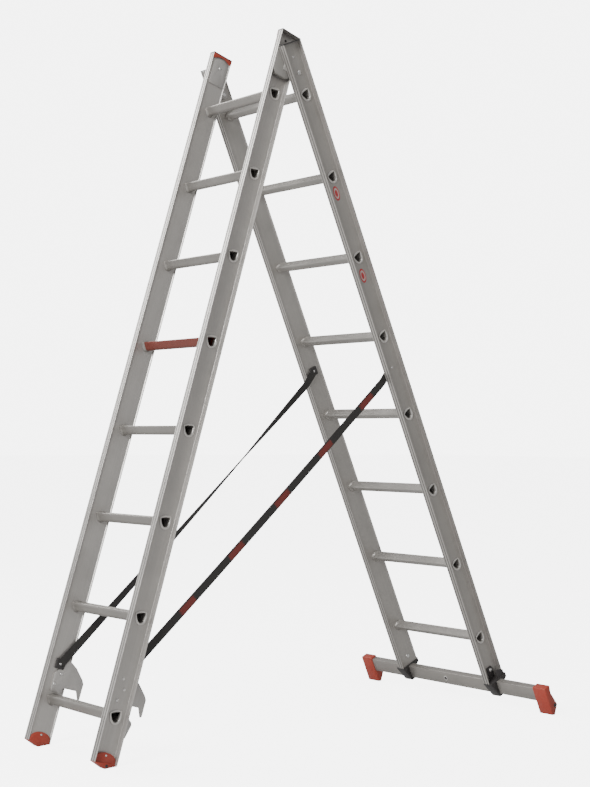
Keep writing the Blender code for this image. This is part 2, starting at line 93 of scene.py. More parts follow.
MERGE = 0.00001
SHARP = 35.0
SHELL_SHARP = 40.0
CHANNEL_SHARP = 24.0
TUBE_SHARP = 50.0
STRAP_SHARP = 60.0


def section_point(section, x, across, up):
    return section @ Vector((x, -across, up))


def new_object(name, mesh):
    item = bpy.data.objects.new(name, mesh)
    bpy.context.scene.collection.objects.link(item)
    return item


def clean(bm):
    bmesh.ops.remove_doubles(bm, verts=bm.verts, dist=MERGE)
    bmesh.ops.recalc_face_normals(bm, faces=bm.faces)


def finished(name, bm, finish, smooth=True, sharp=SHARP):
    """A linked object from a bmesh, with one material and edges kept sharp past an angle."""
    mesh = bpy.data.meshes.new(name)
    bm.to_mesh(mesh)
    bm.free()
    mesh.materials.append(finish)
    if smooth:
        mesh.shade_smooth()
        mesh.set_sharp_from_angle(angle=math.radians(sharp))
    return new_object(name, mesh)


def apply_modifiers(item):
    """Leaves the object with the plain mesh that its modifiers make."""
    bpy.context.view_layer.update()
    graph = bpy.context.evaluated_depsgraph_get()
    mesh = bpy.data.meshes.new_from_object(item.evaluated_get(graph))
    for modifier in list(item.modifiers):
        item.modifiers.remove(modifier)
    item.data = mesh


def add_bevel(item, width):
    bevel = item.modifiers.new("rounded edges", "BEVEL")
    bevel.width = width
    bevel.segments = 2
    bevel.limit_method = "ANGLE"
    bevel.angle_limit = math.radians(30.0)
    bevel.harden_normals = False


def softened(node, finish, width):
    """A rounded copy of a CAD node, which it replaces."""
    bm = bmesh.new()
    bm.from_mesh(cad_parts[node].data)
    clean(bm)
    bmesh.ops.dissolve_limit(bm, angle_limit=math.radians(1.0), verts=bm.verts, edges=bm.edges)
    item = finished(node + "_shell", bm, finish)
    add_bevel(item, width)
    apply_modifiers(item)
    item.data.shade_smooth()
    item.data.set_sharp_from_angle(angle=math.radians(SHELL_SHARP))
    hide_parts(node)
    return item


def join_rings(bm, rings):
    """A band of quads between each ring of vertices and the next."""
    for ring, following in zip(rings, rings[1:]):
        for i in range(len(ring)):
            j = (i + 1) % len(ring)
            bm.faces.new((ring[i], ring[j], following[j], following[i]))


def loops_to_tube(bm, loops, close_chain=False):
    """Joins loops of points into a tube, and the last loop to the first where the chain is closed."""
    rings = [[bm.verts.new(point) for point in loop] for loop in loops]
    join_rings(bm, rings + rings[:1] if close_chain else rings)
    return rings


def arc(centre, radius, start, end, steps):
    """Points on an arc, angles in degrees."""
    points = []
    for step in range(steps + 1):
        angle = math.radians(start + (end - start) * step / steps)
        points.append((centre[0] + radius * math.cos(angle), centre[1] + radius * math.sin(angle)))
    return points


# Shader groups

VECTOR_INPUT = ("NodeSocketVector", "Vector", (0, 0, 0))


class Nodes:
    """A small helper that adds and joins the nodes of one tree."""

    def __init__(self, tree):
        self.tree = tree

    def add(self, kind, at=(0, 0), values=None, **settings):
        node = self.tree.nodes.new(kind)
        node.location = at
        for key, value in settings.items():
            setattr(node, key, value)
        for key, value in (values or {}).items():
            node.inputs[key].default_value = value
        return node

    def join(self, source, target):
        self.tree.links.new(source, target)

    def math(self, operation, first, second, clamp=False):
        node = self.add("ShaderNodeMath", operation=operation, use_clamp=clamp)
        for socket, value in zip(node.inputs, (first, second)):
            if isinstance(value, (int, float)):
                socket.default_value = value
            else:
                self.join(value, socket)
        return node.outputs[0]

    def mix_colour(self, factor, first, second, blend="MIX"):
        node = self.add("ShaderNodeMix", data_type="RGBA", blend_type=blend)
        sockets = (node.inputs[0], node.inputs[6], node.inputs[7])
        for socket, value in zip(sockets, (factor, first, second)):
            if isinstance(value, (int, float)):
                socket.default_value = value
            elif isinstance(value, tuple):
                socket.default_value = (*value, 1.0)
            else:
                self.join(value, socket)
        return node.outputs[2]

    def ramp(self, source, low, high, out_low=0.0, out_high=1.0):
        node = self.add("ShaderNodeMapRange", clamp=True)
        self.join(source, node.inputs[0])
        node.inputs[1].default_value = low
        node.inputs[2].default_value = high
        node.inputs[3].default_value = out_low
        node.inputs[4].default_value = out_high
        return node.outputs[0]


def shader_group(name, inputs, outputs):
    """An empty shader group with (kind, name, default) inputs and (kind, name) outputs."""
    tree = bpy.data.node_groups.new(name, "ShaderNodeTree")
    for kind, label, default in inputs:
        socket = tree.interface.new_socket(name=label, in_out="INPUT", socket_type=kind)
        socket.default_value = default
    for kind, label in outputs:
        tree.interface.new_socket(name=label, in_out="OUTPUT", socket_type=kind)
    nodes = Nodes(tree)
    return nodes, nodes.add("NodeGroupInput", (-900, 0)), nodes.add("NodeGroupOutput", (700, 0))


def drawn_lines_group():
    """Fine lines that an extrusion die leaves along a length."""
    nodes, given, out = shader_group(
        "drawn lines",
        [VECTOR_INPUT, ("NodeSocketFloat", "Fineness", 900.0), ("NodeSocketFloat", "Stretch", 0.004)],
        [("NodeSocketFloat", "Lines"), ("NodeSocketFloat", "Bands")],
    )
    scale = nodes.add("ShaderNodeCombineXYZ")
    nodes.join(given.outputs["Fineness"], scale.inputs[0])
    nodes.join(given.outputs["Fineness"], scale.inputs[1])
    nodes.join(nodes.math("MULTIPLY", given.outputs["Fineness"], given.outputs["Stretch"]), scale.inputs[2])
    stretched = nodes.add("ShaderNodeVectorMath", operation="MULTIPLY")
    nodes.join(given.outputs["Vector"], stretched.inputs[0])
    nodes.join(scale.outputs[0], stretched.inputs[1])
    fine = nodes.add("ShaderNodeTexNoise", values={"Scale": 1.0, "Detail": 3.0, "Roughness": 0.6})
    nodes.join(stretched.outputs[0], fine.inputs["Vector"])
    broad = nodes.add("ShaderNodeTexNoise", values={"Scale": 0.14, "Detail": 2.0, "Roughness": 0.5})
    nodes.join(stretched.outputs[0], broad.inputs["Vector"])
    nodes.join(fine.outputs["Fac"], out.inputs["Lines"])
    nodes.join(broad.outputs["Fac"], out.inputs["Bands"])
    return nodes.tree


def handling_marks_group():
    """Soft dull patches and small scuffs from use and storage."""
    nodes, given, out = shader_group(
        "handling marks",
        [VECTOR_INPUT, ("NodeSocketFloat", "Patch size", 9.0), ("NodeSocketFloat", "Scuff size", 160.0)],
        [("NodeSocketFloat", "Patches"), ("NodeSocketFloat", "Scuffs")],
    )
    patches = nodes.add("ShaderNodeTexNoise", values={"Detail": 4.0, "Roughness": 0.55, "Distortion": 0.4})
    nodes.join(given.outputs["Vector"], patches.inputs["Vector"])
    nodes.join(given.outputs["Patch size"], patches.inputs["Scale"])
    scuffs = nodes.add("ShaderNodeTexNoise", values={"Detail": 5.0, "Roughness": 0.7})
    nodes.join(given.outputs["Vector"], scuffs.inputs["Vector"])
    nodes.join(given.outputs["Scuff size"], scuffs.inputs["Scale"])
    speckle = nodes.ramp(scuffs.outputs["Fac"], 0.60, 0.76)
    where = nodes.ramp(patches.outputs["Fac"], 0.48, 0.66)
    nodes.join(nodes.ramp(patches.outputs["Fac"], 0.30, 0.70), out.inputs["Patches"])
    nodes.join(nodes.math("MULTIPLY", speckle, where), out.inputs["Scuffs"])
    return nodes.tree


def moulded_grain_group():
    """The fine stipple and faint flow marks of a moulded plastic."""
    nodes, given, out = shader_group(
        "moulded grain",
        [VECTOR_INPUT, ("NodeSocketFloat", "Grain size", 1400.0)],
        [("NodeSocketFloat", "Grain"), ("NodeSocketFloat", "Flow")],
    )
    grain = nodes.add("ShaderNodeTexVoronoi", feature="SMOOTH_F1", values={"Smoothness": 0.6})
    nodes.join(given.outputs["Vector"], grain.inputs["Vector"])
    nodes.join(given.outputs["Grain size"], grain.inputs["Scale"])
    flow = nodes.add("ShaderNodeTexNoise", values={"Scale": 38.0, "Detail": 2.0, "Distortion": 1.2})
    nodes.join(given.outputs["Vector"], flow.inputs["Vector"])
    nodes.join(grain.outputs["Distance"], out.inputs["Grain"])
    nodes.join(flow.outputs["Fac"], out.inputs["Flow"])
    return nodes.tree


GROUPS = {
    "lines": drawn_lines_group(),
    "marks": handling_marks_group(),
    "grain": moulded_grain_group(),
}


def new_material(name):
    material = bpy.data.materials.new(name)
    material.use_nodes = True
    nodes = Nodes(material.node_tree)
    return material, nodes, material.node_tree.nodes["Principled BSDF"]


def use_group(nodes, key, vector, **values):
    group = nodes.add("ShaderNodeGroup", node_tree=GROUPS[key])
    nodes.join(vector, group.inputs["Vector"])
    for label, value in values.items():
        group.inputs[label.replace("_", " ")].default_value = value
    return group


def object_vector(nodes, turn=(0.0, 0.0, 0.0)):
    """Object coordinates, turned so that Z runs along the piece."""
    place = nodes.add("ShaderNodeTexCoord")
    mapping = nodes.add("ShaderNodeMapping", vector_type="POINT")
    mapping.inputs["Rotation"].default_value = turn
    nodes.join(place.outputs["Object"], mapping.inputs["Vector"])
    return mapping.outputs["Vector"]


def bump(nodes, height, strength, distance, shader):
    node = nodes.add("ShaderNodeBump", values={"Strength": strength, "Distance": distance})
    nodes.join(height, node.inputs["Height"])
    nodes.join(node.outputs[0], shader.inputs["Normal"])


def weighted(nodes, first, second):
    """The sum of two (value, weight) pairs."""
    return nodes.math("ADD", nodes.math("MULTIPLY", *first), nodes.math("MULTIPLY", *second))


def scuffed(nodes, marks, strength, colour, scuff_colour, shader):
    """Sends the colour to the shader, with the scuffs showing over it."""
    where = nodes.math("MULTIPLY", marks.outputs["Scuffs"], strength)
    nodes.join(nodes.mix_colour(where, colour, scuff_colour), shader.inputs["Base Color"])


def patchy(nodes, marks, low, high, shader):
    """Lets the roughness drift between two values with the dull patches."""
    nodes.join(nodes.ramp(marks.outputs["Patches"], 0.0, 1.0, low, high), shader.inputs["Roughness"])


def drawn_aluminium(name, turn, light, dark, rough=(0.34, 0.50)):
    """Mill-finish aluminium with die lines along the piece, dull patches and scuffs."""
    material, nodes, shader = new_material(name)
    vector = object_vector(nodes, turn)
    lines = use_group(nodes, "lines", vector)
    marks = use_group(nodes, "marks", vector)
    tone = nodes.ramp(lines.outputs["Bands"], 0.30, 0.70)
    tone = weighted(nodes, (tone, 0.25), (marks.outputs["Patches"], 0.75))
    colour = nodes.mix_colour(tone, dark, light)
    streak = nodes.ramp(lines.outputs["Lines"], 0.35, 0.62, 0.94, 1.0)
    colour = nodes.mix_colour(1.0, colour, streak, "MULTIPLY")
    scuffed(nodes, marks, 0.55, colour, (0.30, 0.29, 0.28), shader)
    spread = weighted(nodes, (lines.outputs["Lines"], 0.5), (marks.outputs["Patches"], 0.5))
    nodes.join(nodes.ramp(spread, 0.25, 0.75, *rough), shader.inputs["Roughness"])
    shader.inputs["Metallic"].default_value = 0.6
    bump(nodes, lines.outputs["Lines"], 0.06, 0.0002, shader)
    return material


def moulded_plastic(name, base, worn, rough=(0.38, 0.55)):
    """Moulded plastic: fine stipple, faint flow marks, paler where it is rubbed."""
    material, nodes, shader = new_material(name)
    vector = object_vector(nodes)
    moulded = use_group(nodes, "grain", vector)
    marks = use_group(nodes, "marks", vector, Patch_size=42.0, Scuff_size=420.0)
    colour = nodes.mix_colour(nodes.ramp(moulded.outputs["Flow"], 0.3, 0.7, 0.0, 0.35), base, worn)
    scuffed(nodes, marks, 0.6, colour, worn, shader)
    patchy(nodes, marks, *rough, shader)
    bump(nodes, moulded.outputs["Grain"], 0.18, 0.0003, shader)
    return material


def painted_rung(name):
    """A thin red coat over aluminium, with rubbed scuffs."""
    material, nodes, shader = new_material(name)
    vector = object_vector(nodes)
    marks = use_group(nodes, "marks", vector, Patch_size=30.0, Scuff_size=260.0)
    fading = nodes.math("MULTIPLY", marks.outputs["Patches"], 0.5)
    colour = nodes.mix_colour(fading, (0.135, 0.030, 0.021), (0.190, 0.046, 0.034))
    scuffed(nodes, marks, 0.7, colour, (0.36, 0.30, 0.27), shader)
    patchy(nodes, marks, 0.36, 0.52, shader)
    shader.inputs["Metallic"].default_value = 0.25
    bump(nodes, marks.outputs["Patches"], 0.08, 0.0004, shader)
    return material


def woven_webbing(name):
    """A flat woven strap: ribs along and across its UV map, darker in the weave's hollows as painted shade,
    with plain red patches where the mask says.
    """
    material, nodes, shader = new_material(name)
    uv = nodes.add("ShaderNodeUVMap", uv_map="weave")
    apart = nodes.add("ShaderNodeSeparateXYZ")
    nodes.join(uv.outputs[0], apart.inputs[0])
    along = nodes.math("SINE", nodes.math("MULTIPLY", apart.outputs[0], 2 * math.pi / WEAVE_LENGTH), 0.0)
    across = nodes.math("SINE", nodes.math("MULTIPLY", apart.outputs[1], 2 * math.pi / WEAVE_WIDTH), 0.0)
    weave = nodes.math("MULTIPLY", along, across)
    height = nodes.math("ADD", nodes.math("MULTIPLY", weave, 0.5), 0.5)
    mask = nodes.add("ShaderNodeAttribute", attribute_name="patch")
    fuzz = nodes.add("ShaderNodeTexNoise", values={"Scale": 330.0, "Detail": 3.0})
    nodes.join(uv.outputs[0], fuzz.inputs["Vector"])
    # Both colours run darker in the weave's hollows and paler on its ribs: painted shade.
    black = nodes.mix_colour(height, (0.012, 0.011, 0.010), (0.036, 0.033, 0.031))
    red = nodes.mix_colour(height, (0.090, 0.014, 0.011), (0.230, 0.034, 0.026))
    face_width = STRAP_WIDTH + STRAP_THICKNESS
    side = nodes.math("DIVIDE", nodes.math("MODULO", apart.outputs[1], face_width), face_width)
    inset = nodes.math("ABSOLUTE", nodes.math("SUBTRACT", side, 0.5), 0.0)
    middle = nodes.math("MULTIPLY", mask.outputs["Fac"], nodes.ramp(inset, 0.32, 0.40, 1.0, 0.0))
    ragged = nodes.math("ADD", middle, nodes.ramp(fuzz.outputs["Fac"], 0.30, 0.62, -0.62, 0.10))
    colour = nodes.mix_colour(nodes.ramp(ragged, 0.42, 0.58), black, red)
    nodes.join(colour, shader.inputs["Base Color"])
    nodes.join(nodes.ramp(height, 0.0, 1.0, 0.86, 0.66), shader.inputs["Roughness"])
    bump(nodes, height, 0.55, 0.0004, shader)
    return material


def bright_metal(name, colour, rough):
    """A turned or headed fixing with a light swirl of machining and handling."""
    material, nodes, shader = new_material(name)
    vector = object_vector(nodes)
    marks = use_group(nodes, "marks", vector, Patch_size=120.0, Scuff_size=900.0)
    dark = tuple(c * 0.72 for c in colour)
    nodes.join(nodes.mix_colour(marks.outputs["Patches"], dark, colour), shader.inputs["Base Color"])
    patchy(nodes, marks, rough * 0.8, rough * 1.3, shader)
    shader.inputs["Metallic"].default_value = 1.0
    bump(nodes, marks.outputs["Scuffs"], 0.1, 0.0002, shader)
    return material


def printed_label(name, base, edge):
    """A thin plain sticker, paler where the mask on its mesh says."""
    material, nodes, shader = new_material(name)
    mask = nodes.add("ShaderNodeAttribute", attribute_name="patch")
    marks = use_group(nodes, "marks", object_vector(nodes), Patch_size=90.0, Scuff_size=700.0)
    colour = nodes.mix_colour(nodes.ramp(mask.outputs["Fac"], 0.4, 0.6), base, edge)
    scuffed(nodes, marks, 0.5, colour, (0.5, 0.4, 0.38), shader)
    patchy(nodes, marks, 0.30, 0.48, shader)
    return material


ALONG_FLY = (-FLY_LEAN, 0.0, 0.0)
ALONG_BASE = (-BASE_LEAN, 0.0, 0.0)
ALONG_RUNG = (0.0, math.pi / 2, 0.0)

FLY_ALUMINIUM = drawn_aluminium(
    "fly drawn aluminium", ALONG_FLY, (0.50, 0.480, 0.455), (0.43, 0.412, 0.390)
)
BASE_ALUMINIUM = drawn_aluminium(
    "base drawn aluminium", ALONG_BASE, (0.44, 0.420, 0.393), (0.38, 0.362, 0.338)
)
RUNG_ALUMINIUM = drawn_aluminium(
    "rung aluminium", ALONG_RUNG, (0.43, 0.412, 0.388), (0.35, 0.335, 0.315)
)
# The fly's rungs get a darker copy of the rung aluminium: painted shade.
FLY_RUNG_SHADED_ALUMINIUM = drawn_aluminium(
    "fly rung aluminium with painted shade", ALONG_RUNG, (0.30, 0.285, 0.266), (0.24, 0.228, 0.212)
)
# A lighter copy of the aluminium for the rungs' collars and the bar hole's rim: a painted highlight.
COLLAR_PAINTED_HIGHLIGHT = drawn_aluminium(
    "rolled collar", ALONG_RUNG, (0.66, 0.640, 0.610), (0.56, 0.542, 0.515), (0.26, 0.36)
)
# A darker copy of the aluminium for the flange grooves: painted shade in the grooves.
GROOVE_PAINTED_SHADE = drawn_aluminium(
    "groove painted shade", ALONG_FLY, (0.20, 0.192, 0.182), (0.16, 0.153, 0.145)
)
PLATE_ALUMINIUM = drawn_aluminium(
    "pressed plate", ALONG_FLY, (0.50, 0.482, 0.460), (0.43, 0.414, 0.395), (0.36, 0.52)
)
BAR_ALUMINIUM = drawn_aluminium(
    "bar aluminium", ALONG_RUNG, (0.34, 0.322, 0.299), (0.28, 0.264, 0.245)
)
RED_PAINT = painted_rung("red coat")
RED_PLASTIC = moulded_plastic("orange-red moulding", (0.31, 0.034, 0.018), (0.38, 0.078, 0.048))
GREY_PLASTIC = moulded_plastic(
    "grey moulding", (0.215, 0.205, 0.190), (0.290, 0.280, 0.262), (0.45, 0.60)
)
BLACK_PLASTIC = moulded_plastic(
    "black moulding", (0.022, 0.019, 0.019), (0.060, 0.055, 0.054), (0.42, 0.60)
)
WEBBING = woven_webbing("black webbing")
BRIGHT = bright_metal("bright fixing", (0.80, 0.79, 0.77), 0.26)
RED_LABEL = printed_label("red label", (0.46, 0.045, 0.050), (0.52, 0.42, 0.39))


# Stiles

FLANGE_WALL = 0.0020
CORNER = 0.0008
FILLET = 0.0024
LIP_FOOT = 0.0318
GROOVES_AT = (0.0060, 0.0175)
GROOVE_DEPTH = 0.0010
GROOVE_TOP = 0.0024
GROOVE_FLOOR = 0.0014
OPENING_PLAY = 0.0003
CUTTER_REACH = 0.002


def stile_outline(inner):
    """Half of the channel's outline, in (x, across), from the web's inner face round to its outer one."""
    web_in = inner + WEB_RECESS
    web_out = web_in + WEB_WALL
    outer = inner + STILE_WIDTH
    half = STILE_DEPTH / 2
    groove = half - GROOVE_DEPTH
    lip = 0.0012
    points = [(web_in, 0.0), (web_in, LIP_FOOT)]
    points += arc((web_in - lip, LIP_FOOT + lip), lip, 0, 60, 2)
    points += [(inner + 0.0005, half - 0.0030)]
    points += arc((inner + CORNER, half - CORNER), CORNER, 180, 90, 3)
    for place in GROOVES_AT:
        x = inner + place
        points += [(x - GROOVE_TOP, half), (x - GROOVE_FLOOR, groove)]
        points += [(x + GROOVE_FLOOR, groove), (x + GROOVE_TOP, half)]
    points += arc((outer - CORNER, half - CORNER), CORNER, 90, 0, 3)
    points += arc((outer - 0.0006, half - 0.0014), 0.0006, 0, -90, 2)
    points += [(web_out + 0.0030, half - FLANGE_WALL)]
    points += arc((web_out + FILLET, half - FLANGE_WALL - FILLET), FILLET, 90, 180, 3)
    return points + [(web_out, 0.0)]


def stile(name, side, section, inner, span, first_rung, finish, body):
    """One stile: an outward-open channel with the rungs' openings through its web."""
    half = stile_outline(inner)
    outline = half + [(x, -across) for x, across in reversed(half[1:-1])]
    bm = bmesh.new()
    low, high = span
    loops = [[Vector((side * x, -across, up)) for x, across in outline] for up in (low, high)]
    rings = loops_to_tube(bm, loops)
    for ring in rings:
        bm.faces.new(ring)
    clean(bm)
    item = finished(name, bm, finish)
    cutter = bmesh.new()
    web_in, web_out = inner + WEB_RECESS, inner + WEB_RECESS + WEB_WALL
    through = side * (web_in - CUTTER_REACH), side * (web_out + CUTTER_REACH)
    for k in range(RUNG_COUNT):
        opening = tread_outline(first_rung + RUNG_PITCH * k, OPENING_PLAY, ribs=False)
        slab = [[Vector((x, -across, up)) for across, up in opening] for x in through]
        for ring in loops_to_tube(cutter, slab):
            cutter.faces.new(ring)
    clean(cutter)
    helper = finished(name + " openings", cutter, finish, smooth=False)
    cut = item.modifiers.new("rung openings", "BOOLEAN")
    cut.operation = "DIFFERENCE"
    cut.solver = "EXACT"
    cut.object = helper
    apply_modifiers(item)
    bpy.data.objects.remove(helper, do_unlink=True)
    # The groove faces take the darker finish: painted shade in the grooves.
    item.data.materials.append(GROOVE_PAINTED_SHADE)
    for face in item.data.polygons:
        depth = STILE_DEPTH / 2 - abs(face.center.y)
        place = abs(face.center.x) - inner
        if 0.3 * GROOVE_DEPTH < depth < 1.2 * GROOVE_DEPTH and 0.003 < place < 0.021:
            face.material_index = 1
    item.data.transform(section)
    item.data.shade_smooth()
    item.data.set_sharp_from_angle(angle=math.radians(CHANNEL_SHARP))
    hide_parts(name)
    item.name = name + "_channel"
    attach(item, body)


# Rungs

RIB_COUNT = 8
RIB_PITCH = 0.0036
ROUND_RADIUS = 0.0158


def tread_outline(up, grow=0.0, ribs=True, roundness=0.0):
    """The rung's outline in (across, up): a flat ribbed tread over a tapering keel.

    It can be grown outwards, and pulled towards a circle by its roundness.
    """
    points = [(-0.0160, 0.0128), (-0.0153, 0.0138)]
    top, low = (0.0140, 0.0132) if ribs else (0.0138, 0.0138)
    for rib in range(RIB_COUNT):
        middle = RIB_PITCH * (rib - (RIB_COUNT - 1) / 2)
        points += [(middle - 0.0010, low), (middle - 0.0006, top)]
        points += [(middle + 0.0006, top), (middle + 0.0010, low)]
    points += [(0.0153, 0.0138), (0.0160, 0.0128), (0.0161, 0.0105)]
    side = [(0.0150, 0.0070), (0.0135, 0.0030), (0.0118, -0.0020)]
    side += [(0.0105, -0.0055), (0.0085, -0.0100), (0.0060, -0.0126)]
    points += side + [(0.0030, -0.0138), (0.0, -0.0140), (-0.0030, -0.0138)]
    points += [(-s, w) for s, w in reversed(side)] + [(-0.0161, 0.0105)]
    cos, sin = math.cos(TREAD_TILT), math.sin(TREAD_TILT)
    turned = []
    for s, w in points:
        reach = math.hypot(s, w)
        s, w = s * (1 + grow / reach), w * (1 + grow / reach)
        ring = (ROUND_RADIUS + grow) / math.hypot(s, w)
        s, w = s * (1 + roundness * (ring - 1)), w * (1 + roundness * (ring - 1))
        turned.append((RUNG_ACROSS + s * cos + w * sin, up - s * sin + w * cos))
    return turned


# (x from the web's face, growth, roundness) along one end of a rung
RUNG_BEAD = (
    (-0.0105, 0.0, 0.0),
    (-0.0085, 0.0003, 0.0),
    (-0.0060, 0.0013, 0.15),
    (-0.0034, 0.0026, 0.3),
    (-0.0014, 0.0032, 0.35),
    (-0.0003, 0.0026, 0.3),
    (-0.0002, 0.0, 0.0),
)
RUNG_COLLAR = (
    (0.0002, 0.0, 0.0),
    (0.0003, 0.0057, 0.45),
    (0.0009, 0.0062, 0.45),
    (0.0017, 0.0060, 0.45),
    (0.0024, 0.0050, 0.4),
    (0.0029, 0.0038, 0.42),
    (0.0027, 0.0020, 0.38),
    (0.0020, 0.0010, 0.34),
    (0.0006, 0.0001, 0.26),
    (-0.0010, -0.0010, 0.08),
    (-0.0080, -RUNG_WALL, 0.0),
)


def rung(name, section, inner, up, finish, end_finish, body):
    """A hollow rung: swollen bead inside each web and a rolled collar outside it."""
    web_in = inner + WEB_RECESS
    web_out = web_in + WEB_WALL
    half = [(web_in + x, grow, rounding) for x, grow, rounding in RUNG_BEAD]
    half += [(web_out + x, grow, rounding) for x, grow, rounding in RUNG_COLLAR]
    chain = [(-x, grow, rounding) for x, grow, rounding in reversed(half)] + half
    bm = bmesh.new()
    loops = []
    for x, grow, rounding in chain:
        outline = tread_outline(up, grow, True, rounding)
        loops.append([section_point(section, x, across, height) for across, height in outline])
    loops_to_tube(bm, loops, close_chain=True)
    clean(bm)
    item = finished(name + "_tube", bm, finish, sharp=TUBE_SHARP)
    item.data.materials.append(end_finish)
    # The collar faces take the lighter aluminium, a painted highlight.
    item.data.materials.append(COLLAR_PAINTED_HIGHLIGHT)
    for face in item.data.polygons:
        if abs(face.center.x) > web_out + 0.0003:
            face.material_index = 2
        elif abs(face.center.x) > web_in - 0.0107:
            face.material_index = 1
    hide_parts(name)
    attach(item, body)


# Fixings, made by Geometry Nodes from one point each

def domed_rivets_tree():
    """Puts a domed rivet head with a seating ring on every point, facing along X."""
    tree = bpy.data.node_groups.new("domed rivets", "GeometryNodeTree")
    tree.interface.new_socket(name="Points", in_out="INPUT", socket_type="NodeSocketGeometry")
    sizes = (("Head radius", 0.004), ("Head height", 0.002), ("Seat height", 0.0006), ("Facing", 1.0))
    for label, default in sizes:
        socket = tree.interface.new_socket(name=label, in_out="INPUT", socket_type="NodeSocketFloat")
        socket.default_value = default
    tree.interface.new_socket(name="Finish", in_out="INPUT", socket_type="NodeSocketMaterial")
    tree.interface.new_socket(name="Geometry", in_out="OUTPUT", socket_type="NodeSocketGeometry")
    nodes = Nodes(tree)
    given = nodes.add("NodeGroupInput", (-900, 0))
    out = nodes.add("NodeGroupOutput", (900, 0))
    dome = nodes.add("GeometryNodeMeshUVSphere", (-600, 200))
    dome.inputs["Segments"].default_value = 28
    dome.inputs["Rings"].default_value = 14
    nodes.join(given.outputs["Head radius"], dome.inputs["Radius"])
    squash = nodes.add("ShaderNodeCombineXYZ", (-600, 0), values={"X": 1.0, "Y": 1.0})
    flatness = nodes.math("DIVIDE", given.outputs["Head height"], given.outputs["Head radius"])
    nodes.join(flatness, squash.inputs["Z"])
    flattened = nodes.add("GeometryNodeTransform", (-400, 200))
    nodes.join(dome.outputs["Mesh"], flattened.inputs["Geometry"])
    nodes.join(squash.outputs[0], flattened.inputs["Scale"])
    seat = nodes.add("GeometryNodeMeshCylinder", (-600, -200))
    seat.inputs["Vertices"].default_value = 28
    nodes.join(nodes.math("MULTIPLY", given.outputs["Head radius"], 1.04), seat.inputs["Radius"])
    nodes.join(given.outputs["Seat height"], seat.inputs["Depth"])
    both = nodes.add("GeometryNodeJoinGeometry", (-200, 100))
    nodes.join(flattened.outputs[0], both.inputs[0])
    nodes.join(seat.outputs["Mesh"], both.inputs[0])
    turn = nodes.add("ShaderNodeCombineXYZ", (-200, -200))
    nodes.join(nodes.math("MULTIPLY", given.outputs["Facing"], math.pi / 2), turn.inputs["Y"])
    faced = nodes.add("GeometryNodeTransform", (0, 100))
    nodes.join(both.outputs[0], faced.inputs["Geometry"])
    nodes.join(turn.outputs[0], faced.inputs["Rotation"])
    placed = nodes.add("GeometryNodeInstanceOnPoints", (200, 0))
    nodes.join(given.outputs["Points"], placed.inputs["Points"])
    nodes.join(faced.outputs[0], placed.inputs["Instance"])
    real = nodes.add("GeometryNodeRealizeInstances", (400, 0))
    nodes.join(placed.outputs[0], real.inputs[0])
    smooth = nodes.add("GeometryNodeSetShadeSmooth", (550, 0))
    nodes.join(real.outputs[0], smooth.inputs[0])
    finish = nodes.add("GeometryNodeSetMaterial", (700, 0))
    nodes.join(smooth.outputs[0], finish.inputs["Geometry"])
    nodes.join(given.outputs["Finish"], finish.inputs["Material"])
    nodes.join(finish.outputs[0], out.inputs[0])
    return tree


def set_inputs(modifier, **values):
    """Sets a Geometry Nodes modifier's inputs by their sockets' identifiers."""
    sockets = modifier.node_group.interface.items_tree
    named = {item.name: item.identifier for item in sockets if item.in_out == "INPUT"}
    for label, value in values.items():
        modifier[named[label.replace("_", " ")]] = value


RIVETS = domed_rivets_tree()


def rivets(name, points, facing, head, body, finish, nodes=()):
    """Rivet heads, each a (radius, height), on points in the row frame, all facing one way along X."""
    mesh = bpy.data.meshes.new(name)
    mesh.from_pydata([tuple(point) for point in points], [], [])
    item = new_object(name, mesh)
    modifier = item.modifiers.new("domed rivets", "NODES")
    modifier.node_group = RIVETS
    radius, height = head
    set_inputs(modifier, Head_radius=radius, Head_height=height, Facing=float(facing), Finish=finish)
    apply_modifiers(item)
    if nodes:
        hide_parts(*nodes)
    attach(item, body)


def both_sides(section, x, spots):
    """The spots on the right and on the left, in the row frame."""
    right = [section_point(section, x, *spot) for spot in spots]
    left = [section_point(section, -x, *spot) for spot in spots]
    return right, left


def rivet_pair(name, body, x, spots, outwards, head, finish=BRIGHT, nodes=((), ())):
    """Rivet heads at the same places on both sides, facing away from the ladder's middle or towards it."""
    section = {"fly": FLY_FRAME, "base": BASE_FRAME}[body]
    right, left = both_sides(section, x, spots)
    rivets(name + "_right", right, outwards, head, body, finish, nodes[0])
    rivets(name + "_left", left, -outwards, head, body, finish, nodes[1])


# Straps

STRAP_STATIONS = 150
STRAP_SAG = 0.006
STRAP_BEND = 0.955
STRAP_BEND_AT = (0.052, 1.237)
PATCH_FIRST = 0.290
PATCH_STEP = 0.231
PATCH_LENGTH = 0.070
PATCH_EDGE = 0.006


def eased(t):
    t = min(max(t, 0.0), 1.0)
    return t * t * (3 - 2 * t)


def strap_route(side):
    """Points from the fly's tab to the base's tab: a small sag, then a bend just before the base's stile."""
    start = section_point(FLY_FRAME, side * (FLY_INNER - 0.0044), *FLY_STRAP_AT)
    end = section_point(BASE_FRAME, side * (BASE_INNER - 0.0034), *BASE_STRAP_AT)
    near_end = section_point(BASE_FRAME, side * (BASE_INNER - 0.0034), *STRAP_BEND_AT)
    points = []
    for step in range(STRAP_STATIONS + 1):
        t = step / STRAP_STATIONS
        if t <= STRAP_BEND:
            s = t / STRAP_BEND
            point = start.lerp(near_end, s)
            point.z -= STRAP_SAG * math.sin(math.pi * s)
        else:
            point = near_end.lerp(end, (t - STRAP_BEND) / (1 - STRAP_BEND))
        points.append(point)
    for _ in range(3):
        inside = [(a + 2 * b + c) / 4 for a, b, c in zip(points, points[1:], points[2:])]
        points = [points[0]] + inside + [points[-1]]
    return points


